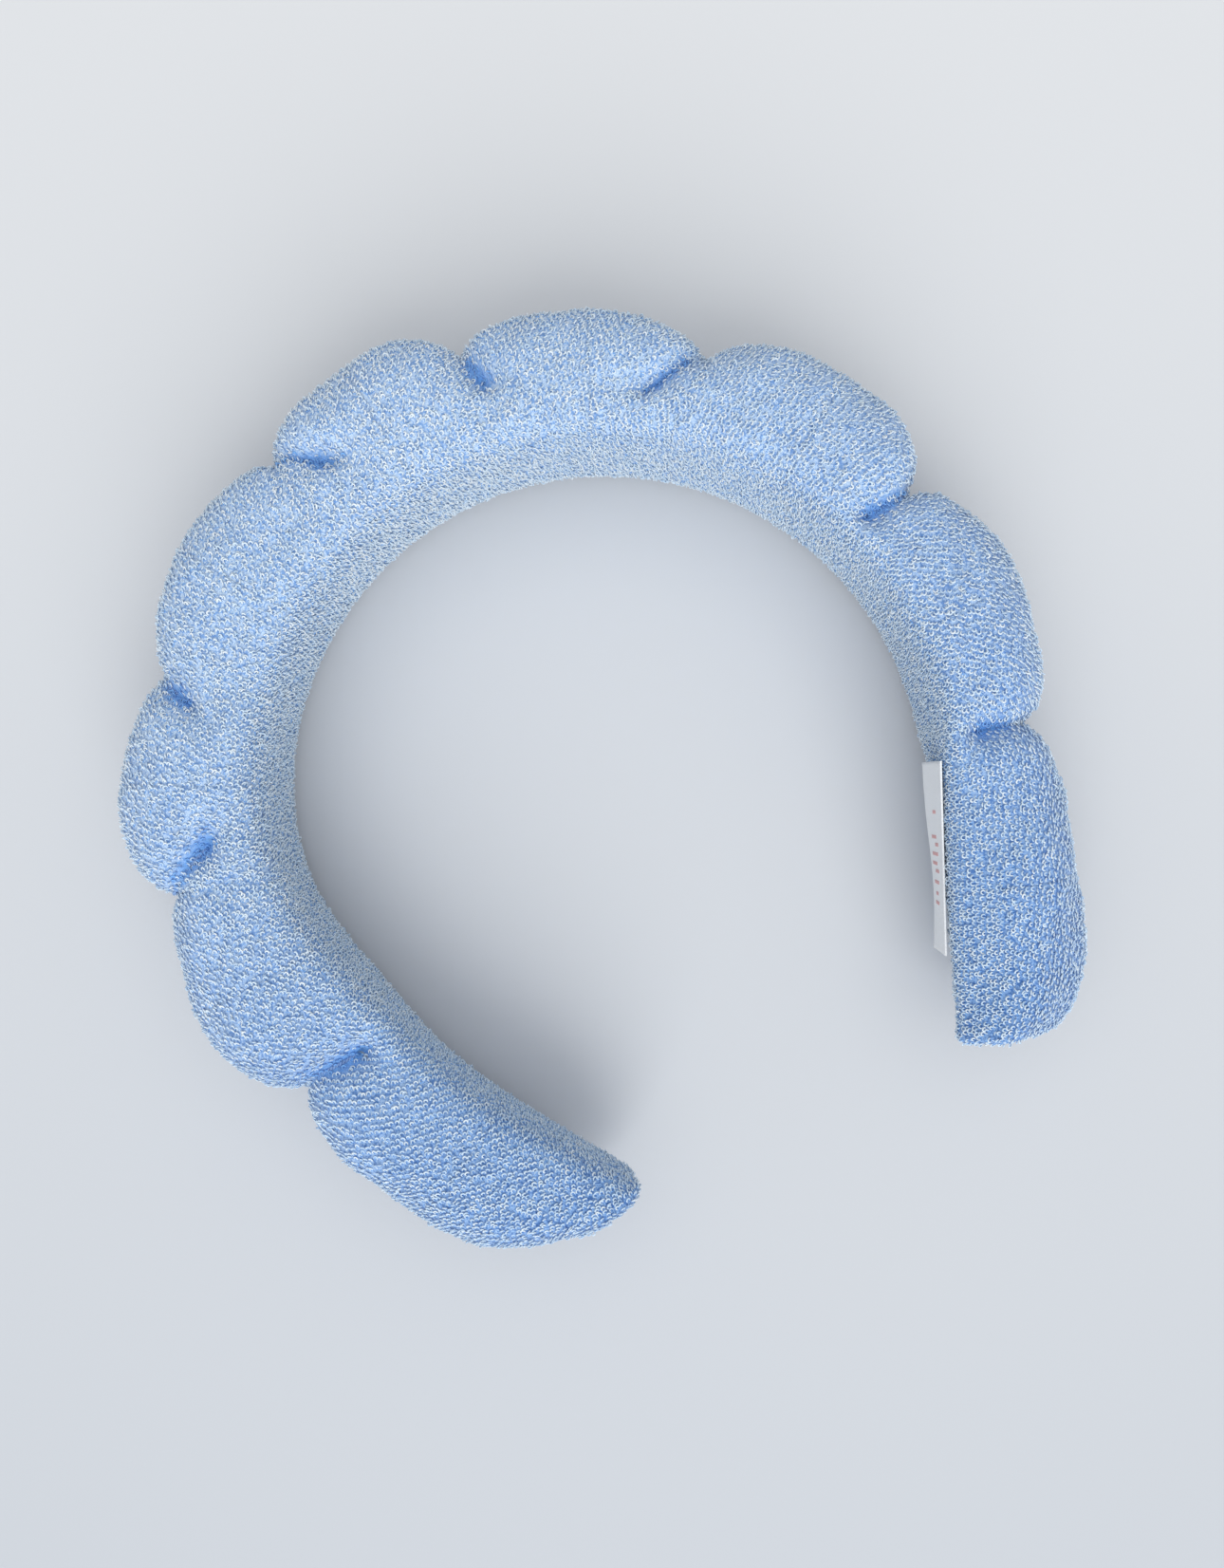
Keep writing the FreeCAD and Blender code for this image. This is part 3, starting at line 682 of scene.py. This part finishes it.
def label_surface(u, v):
    """Points of the care label: u runs along the seam and v down its drop, both from 0 to 1."""
    start = TIE_ALONG[-1] + LABEL_AFTER_TIE
    along = np.array([start, start + LABEL_LENGTH])
    out, width = pad_size(along)
    lip = math.pi - math.asin((2 * SLOT_SHARE) ** (INNER_ROUNDNESS / 2))
    o, a = section(out, width, np.full(2, lip))
    ends = in_space(along, out, np.stack([o, a], -1)[:, None])[:, 0]
    run = ends[1] - ends[0]
    level = unit(run * [1, 1, 0])
    inward = np.array([level[1], -level[0], 0])
    run = unit(run) * LABEL_LENGTH
    flare = LABEL_FLARE * (1 - u) ** 2 * v - LABEL_TUCK * v + LABEL_RIPPLE * np.sin(u * LABEL_RIPPLE_RATE) * v ** 2
    seam = ends[0] + u[..., None] * run
    drop = v[..., None] * LABEL_DROP * np.array([0, 0, -1.0])
    return seam + inward * (LABEL_OFF + flare)[..., None] + drop


def label_patch(name, u_range, v_range, cells, lift, thickness):
    """Thin closed patch of the label's surface."""
    u, v = np.meshgrid(np.linspace(*u_range, cells[0]), np.linspace(*v_range, cells[1]), indexing="ij")
    points = label_surface(u, v)
    normal = unit(np.cross(np.gradient(points, axis=0), np.gradient(points, axis=1)))
    return shell(name, points + normal * lift, normal, thickness)


SPONGE_END_GAP = 3.2
SPONGE_INSET = 1.2          # below the cloth
SPONGE_FLOOR = 4.0          # its lowest place out, above the hoop strip
SPONGE_RINGS, SPONGE_COLUMNS = 28, 60


def sponge(segment):
    """Foam core of one puff, rounded at both ends, above the hoop strip."""
    along = np.linspace(BOUNDS[segment] + SPONGE_END_GAP, BOUNDS[segment + 1] - SPONGE_END_GAP, SPONGE_RINGS)
    inset = SKIN_INSET + SKIN_THICKNESS + SPONGE_INSET
    out, width = pad_size(along)
    points = columns_evenly(out - 2 * inset, width - 2 * inset, SPONGE_COLUMNS, 1)
    points[..., 0] += inset
    points = draw_in(along, out - inset, points)
    points[..., 0] = np.maximum(points[..., 0], SPONGE_FLOOR + swell_at(along)[:, None])
    rings = rest_on_floor(in_space(along, out, points), FLOOR_HEIGHT + SKIN_THICKNESS)
    forward = hoop_frame(along)[1]
    rings = np.concatenate([cap(rings[0], -forward[0])[::-1], rings, cap(rings[-1], forward[-1])])
    return closed_tube(SEGMENTS[segment] + "_sponge", rings)


def closed_tube(name, rings):
    """Mesh of a tube of rings with a flat face at each end."""
    rows, columns = rings.shape[:2]
    piece = mesh_object(name, rings.reshape(-1, 3), grid_faces(rows, columns, closed=True))
    shape = bmesh.new()
    shape.from_mesh(piece.data)
    shape.verts.ensure_lookup_table()
    for ring in (range(columns), range((rows - 1) * columns, rows * columns)):
        shape.faces.new([shape.verts[i] for i in ring])
    bmesh.ops.recalc_face_normals(shape, faces=shape.faces)
    shape.to_mesh(piece.data)
    shape.free()
    return piece


# ---------------------------------------------------------------- materials

LOOP_STOPS = (0.0, 0.16, 0.34, 0.75)         # from the eye of a small loop, over its yarn, to the gap outside it; the eye and the gap are painted darker, as shade in the holes
PAINTED_FALLOFF_FROM, PAINTED_FALLOFF_TO = -75.0, 55.0            # painted light falloff: the cloth is painted palest towards the crown, standing in partly for the light, which is weaker towards the free ends
FABRIC_COLOURS = {"painted_dim_ends": ((0.020, 0.080, 0.270), (0.080, 0.210, 0.500),
                            (0.250, 0.430, 0.720), (0.045, 0.150, 0.420)),
                  "painted_lit_crown": ((0.060, 0.160, 0.400), (0.310, 0.480, 0.760),
                           (0.600, 0.740, 0.890), (0.190, 0.350, 0.650)),
                  # crease and root are painted shade: deep blue in the tufts, and at the feet of the loops
                  "crease_shade": (0.100, 0.330, 0.780),
                  "root": (0.180, 0.420, 0.820),
                  "tints": [(0.460, 0.630, 0.830), (0.540, 0.690, 0.850), (0.620, 0.750, 0.870),
                            (0.700, 0.800, 0.885), (0.780, 0.850, 0.900)]}


def new_material(name, roughness, **values):
    material = bpy.data.materials.new(name)
    material.use_nodes = True
    shader = material.node_tree.nodes["Principled BSDF"]
    shader.inputs["Roughness"].default_value = roughness
    for socket, value in values.items():
        shader.inputs[socket.replace("_", " ").title()].default_value = value
    return material


def node(material, kind, **inputs):
    made = material.node_tree.nodes.new(kind)
    for socket, value in inputs.items():
        made.inputs[socket].default_value = value
    return made


def link(material, source, output, target, socket):
    material.node_tree.links.new(source.outputs[output], target.inputs[socket])


def colour_ramp(material, pattern, output, *stops):
    """Turns a pattern's value into a colour. Each stop is a value and its colour."""
    ramp = node(material, "ShaderNodeValToRGB")
    elements = ramp.color_ramp.elements
    for _ in stops[2:]:
        elements.new(1.0)
    for element, (value, colour) in zip(elements, stops):
        element.position = value
        element.color = (*colour, 1)
    link(material, pattern, output, ramp, "Fac")
    return ramp


def mix(material, factor, output, first, second):
    """Mixes two colour nodes by another node's value."""
    mixed = node(material, "ShaderNodeMixRGB")
    link(material, factor, output, mixed, "Fac")
    for source, socket in ((first, "Color1"), (second, "Color2")):
        link(material, source, "Color", mixed, socket)
    return mixed


def blend_colours(material, pattern, output, low, high, dark, light):
    """Colours the shader from dark to light as a pattern's value goes from low to high."""
    ramp = colour_ramp(material, pattern, output, (low, dark), (high, light))
    link(material, ramp, "Color", material.node_tree.nodes["Principled BSDF"], "Base Color")


def add_bump(material, pattern, output, strength, height_mm):
    bump = node(material, "ShaderNodeBump", Strength=strength, Distance=height_mm * MM)
    link(material, pattern, output, bump, "Height")
    link(material, bump, "Normal", material.node_tree.nodes["Principled BSDF"], "Normal")


def object_pattern(material, kind, cells_per_mm, **inputs):
    """A texture node that reads the piece's own coordinates."""
    pattern = node(material, kind, Scale=cells_per_mm / MM, **inputs)
    place = node(material, "ShaderNodeTexCoord")
    link(material, place, "Object", pattern, "Vector")
    return pattern


def skin_material(name):
    """Ground of the terry with its short under-loops, their eyes and gaps darker as painted shade; painted paler
    towards the crown, partly as painted light falloff; and painted deep blue crease shade in the tufts.
    """
    material = new_material(name, 0.95, sheen_weight=0.25, sheen_roughness=0.6)
    loops = object_pattern(material, "ShaderNodeTexVoronoi", 1.9)
    painted_dim_ends, painted_lit_crown = (colour_ramp(material, loops, "Distance", *zip(LOOP_STOPS, colours))
                   for colours in (FABRIC_COLOURS["painted_dim_ends"], FABRIC_COLOURS["painted_lit_crown"]))
    place = node(material, "ShaderNodeTexCoord")
    parts = node(material, "ShaderNodeSeparateXYZ")
    link(material, place, "Object", parts, "Vector")
    # Painted light falloff: paler towards the crown along the piece's Y, standing in partly for the light.
    towards_pale = node(material, "ShaderNodeMapRange", **{"From Min": PAINTED_FALLOFF_FROM * MM, "From Max": PAINTED_FALLOFF_TO * MM})
    link(material, parts, "Y", towards_pale, "Value")
    # Painted crease shade: the tufts' sunk places are painted deep blue.
    crease_shade = node(material, "ShaderNodeAttribute")
    crease_shade.attribute_name = "crease_shade"
    deep = colour_ramp(material, loops, "Distance", (0.0, FABRIC_COLOURS["crease_shade"]), (1.0, FABRIC_COLOURS["root"]))
    colour = mix(material, crease_shade, "Fac", mix(material, towards_pale, "Result", painted_dim_ends, painted_lit_crown), deep)
    link(material, colour, "Color", material.node_tree.nodes["Principled BSDF"], "Base Color")
    add_bump(material, loops, "Distance", 0.6, 0.25)
    return material


def loop_materials():
    """Cotton yarn: one material for the shaded foot of a loop and one for each tint of its top."""
    made = []
    colours = [FABRIC_COLOURS["root"], *FABRIC_COLOURS["tints"]]
    for number, colour in enumerate(colours):
        material = new_material(f"terry_yarn_{number}", 0.92, sheen_weight=0.35, sheen_roughness=0.55)
        material.node_tree.nodes["Principled BSDF"].inputs["Base Color"].default_value = (*colour, 1)
        fibres = object_pattern(material, "ShaderNodeTexNoise", 6.0, Detail=2.0)
        add_bump(material, fibres, "Fac", 0.2, 0.03)
        made.append(material)
    return made


def sponge_material():
    """Open-cell foam."""
    material = new_material("sponge", 0.9)
    cells = object_pattern(material, "ShaderNodeTexVoronoi", 1.6)
    blend_colours(material, cells, "Distance", 0.0, 0.5, (0.48, 0.46, 0.40), (0.86, 0.84, 0.76))
    add_bump(material, cells, "Distance", 0.8, 0.35)
    return material


def hoop_material():
    """Milky polypropylene strip with faint moulding flow."""
    material = new_material("hoop_plastic", 0.42, coat_weight=0.1)
    flow = object_pattern(material, "ShaderNodeTexNoise", 0.12, Detail=3.0, Distortion=0.8)
    blend_colours(material, flow, "Fac", 0.3, 0.7, (0.80, 0.81, 0.80), (0.88, 0.885, 0.87))
    add_bump(material, flow, "Fac", 0.15, 0.05)
    return material


def thread_material():
    """Polyester sewing thread, a little deeper blue than the terry."""
    material = new_material("thread", 0.6, sheen_weight=0.3, sheen_roughness=0.4)
    fibres = object_pattern(material, "ShaderNodeTexNoise", 5.0, Detail=2.0)
    blend_colours(material, fibres, "Fac", 0.3, 0.7, (0.17, 0.31, 0.60), (0.27, 0.42, 0.70))
    add_bump(material, fibres, "Fac", 0.4, 0.04)
    return material


def label_material():
    """Woven satin tape."""
    material = new_material("label_tape", 0.55, sheen_weight=0.3, sheen_roughness=0.35)
    weave = object_pattern(material, "ShaderNodeTexChecker", 2.6)
    blend_colours(material, weave, "Fac", 0.0, 1.0, (0.74, 0.76, 0.78), (0.83, 0.84, 0.85))
    add_bump(material, weave, "Fac", 0.3, 0.05)
    return material


def mark_material():
    """Faded red print."""
    material = new_material("label_mark", 0.7)
    towards_pale = object_pattern(material, "ShaderNodeTexNoise", 3.0, Detail=3.0)
    blend_colours(material, towards_pale, "Fac", 0.3, 0.7, (0.62, 0.30, 0.30), (0.74, 0.46, 0.45))
    return material


def paint(piece, *materials):
    if piece.data.materials:
        piece.data.materials.clear()
    for material in materials:
        piece.data.materials.append(material)


# ---------------------------------------------------------------- cloth pieces

SLOT_COLUMNS = np.arange(COVER_COLUMNS, COVER_COLUMNS + LINER_COLUMNS + 1) % (COVER_COLUMNS + LINER_COLUMNS)


def make_cloth():
    """The terry cover and liner, in regions, with their loops."""
    along, rings, sunk = tube(RING_STEP, COVER_COLUMNS, LINER_COLUMNS)
    # Painted crease shade: how much deep blue shade each point takes, from how far a tuft sinks it.
    crease_shade = blend_between(sunk, *CREASE_SUNK)
    rings = rings + spread_to(along, *inflated())
    column = np.arange(rings.shape[1])
    round_cover = np.clip(np.minimum(column, COVER_COLUMNS - column), 0, LUMP_MARGIN) / LUMP_MARGIN
    rings = rings + normals_of(rings) * (lumpiness(rings) * round_cover)[..., None]
    rings = rest_on_floor(rings, FLOOR_HEIGHT)
    normals = normals_of(rings)
    place, column, base, normal, direction, deep = loop_bases(along, rings, normals, crease_shade)
    skin = skin_material("terry_ground")
    yarns = loop_materials()
    for region, name in enumerate(REGION_NAMES):
        rows = rows_of(along, region)
        in_region = (place >= SPLITS[region]) & (place < SPLITS[region + 1])
        for layer, columns in (("cover", np.arange(COVER_COLUMNS + 1)), ("liner", SLOT_COLUMNS)):
            patch = np.ix_(rows, columns)
            ground = shell(f"{name}_terry_{layer}", rings[patch], normals[patch], SKIN_THICKNESS)
            ground.data.attributes.new("crease_shade", "FLOAT", "POINT").data.foreach_set(
                "value", np.tile(crease_shade[patch].ravel(), 2).astype(np.float32))
            paint(ground, skin)
            chosen = in_region & ((column < COVER_COLUMNS) == (layer == "cover"))
            loops = pile(f"{name}_loops_{layer}", place[chosen], base[chosen], normal[chosen], direction[chosen],
                         deep[chosen])
            paint(loops, *yarns)
            for piece in (ground, loops):
                follow(piece, region)
            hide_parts(*[f"{segment}_{layer}" for segment in segments_of(region)])


def make_sponges():
    material = sponge_material()
    for segment, name in enumerate(SEGMENTS):
        piece = sponge(segment)
        paint(piece, material)
        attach(piece, name)
        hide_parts(name + "_foam")


def make_ties():
    material = thread_material()
    for tie, name in enumerate(TIES):
        piece = thread_tie(tie)
        paint(piece, material)
        follow(piece, tie + 1)
        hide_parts(name)
    for name in ("left_end_stitches", "right_end_stitches"):
        paint(frame["nodes"][name], material)


MARK_ROWS = [(0.25, 0.38, 0.56), (0.38, 0.42, 0.72), (0.42, 0.30, 0.52), (0.47, 0.34, 0.76), (0.52, 0.44, 0.80),
             (0.56, 0.32, 0.60), (0.62, 0.36, 0.74), (0.68, 0.45, 0.66), (0.73, 0.40, 0.72)]
MARK_HEIGHT = 0.018
MARK_THICKNESS = 0.04


def make_label():
    piece = label_patch("care_label_tape", (0, 1), (0, 1), LABEL_CELLS, LABEL_THICKNESS / 2, LABEL_THICKNESS)
    paint(piece, label_material())
    ink = mark_material()
    marks = []
    for place, start, stop in MARK_ROWS:
        mark = label_patch(f"label_bar_{len(marks) + 1}", (place, place + MARK_HEIGHT), (start, stop), MARK_CELLS,
                           -LABEL_THICKNESS / 2, MARK_THICKNESS)
        paint(mark, ink)
        marks.append(mark)
    for part in (piece, *marks):
        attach(part, SEGMENTS[-1])
    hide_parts("care_label")


# ---------------------------------------------------------------- floor, light and camera

CAMERA_HEIGHT = 0.259
CAMERA_ROLL = math.radians(-30.5)
CAMERA_OFFSET_MM = (1.12, 1.12)     # to the picture's right and up, from above the hoop's centre
LENS, SENSOR = 28.11, 36.0
WINDOW_HEIGHT, WINDOW_SIZE, WINDOW_POWER = 0.90, 1.4, 3.0
ROOM_PLACE = (0.30, -2.30, 1.90)    # to the picture's right and up, and above the floor
ROOM_SIZE, ROOM_POWER = 3.0, 60.0
WORLD_STRENGTH = 0.66
FLOOR_SIZE = 4.0
FLOOR_REACH = 0.24                  # metres each way from the hoop's frame, over which the table's painted light falloff changes


def picture_axes():
    """Directions of the picture's right and up on the floor."""
    return (Vector((math.cos(CAMERA_ROLL), math.sin(CAMERA_ROLL), 0)),
            Vector((-math.sin(CAMERA_ROLL), math.cos(CAMERA_ROLL), 0)))


def make_camera():
    right, up = picture_axes()
    data = bpy.data.cameras.new("camera")
    data.lens = LENS
    data.sensor_width = SENSOR
    camera = bpy.data.objects.new("camera", data)
    middle = Vector((HOOP_CENTRE[0], HOOP_CENTRE[1], 0)) * MM
    camera.location = middle + (right * CAMERA_OFFSET_MM[0] + up * CAMERA_OFFSET_MM[1]) * MM
    camera.location.z = CAMERA_HEIGHT
    camera.rotation_euler = (0, 0, CAMERA_ROLL)
    bpy.context.scene.collection.objects.link(camera)
    bpy.context.scene.camera = camera


def make_floor():
    """Pale table, painted paler towards the picture's top and darker towards its bottom, as painted light falloff."""
    bpy.ops.mesh.primitive_plane_add(size=FLOOR_SIZE, rotation=(0, 0, CAMERA_ROLL))
    floor = bpy.context.object
    floor.name = "floor"
    material = new_material("floor", 0.7)
    place = node(material, "ShaderNodeTexCoord")
    parts = node(material, "ShaderNodeSeparateXYZ")
    link(material, place, "Object", parts, "Vector")
    rise = node(material, "ShaderNodeMapRange", **{"From Min": -FLOOR_REACH, "From Max": FLOOR_REACH})
    link(material, parts, "Y", rise, "Value")
    # Painted light falloff across the table.
    blend_colours(material, rise, "Result", 0.0, 1.0, (0.485, 0.515, 0.560), (0.690, 0.700, 0.715))
    paint(floor, material)


def area_light(name, place, target, size, power, colour):
    data = bpy.data.lights.new(name, "AREA")
    data.shape = "DISK"
    data.size = size
    data.energy = power
    data.color = colour
    light = bpy.data.objects.new(name, data)
    light.location = place
    light.rotation_euler = (target - place).to_track_quat("-Z", "Y").to_euler()
    bpy.context.scene.collection.objects.link(light)


def make_lights():
    right, up = picture_axes()
    middle = Vector((HOOP_CENTRE[0], HOOP_CENTRE[1], 0)) * MM
    height = Vector((0, 0, 1))
    area_light("window", middle + height * WINDOW_HEIGHT, middle, WINDOW_SIZE, WINDOW_POWER, (1.0, 0.99, 0.97))
    room = middle + right * ROOM_PLACE[0] + up * ROOM_PLACE[1] + height * ROOM_PLACE[2]
    area_light("room", room, middle, ROOM_SIZE, ROOM_POWER, (0.98, 0.985, 0.98))
    world = bpy.data.worlds.new("world")
    bpy.context.scene.world = world
    world.use_nodes = True
    world.node_tree.nodes["Background"].inputs["Color"].default_value = (0.94, 0.96, 0.985, 1)
    world.node_tree.nodes["Background"].inputs["Strength"].default_value = WORLD_STRENGTH
    bpy.context.scene.view_settings.view_transform = "Standard"


# ---------------------------------------------------------------- scene

make_cloth()
make_sponges()
make_ties()
make_label()
plastic = hoop_material()
for segment in SEGMENTS:
    paint(frame["nodes"][segment + "_hoop"], plastic)
make_camera()
make_floor()
make_lights()
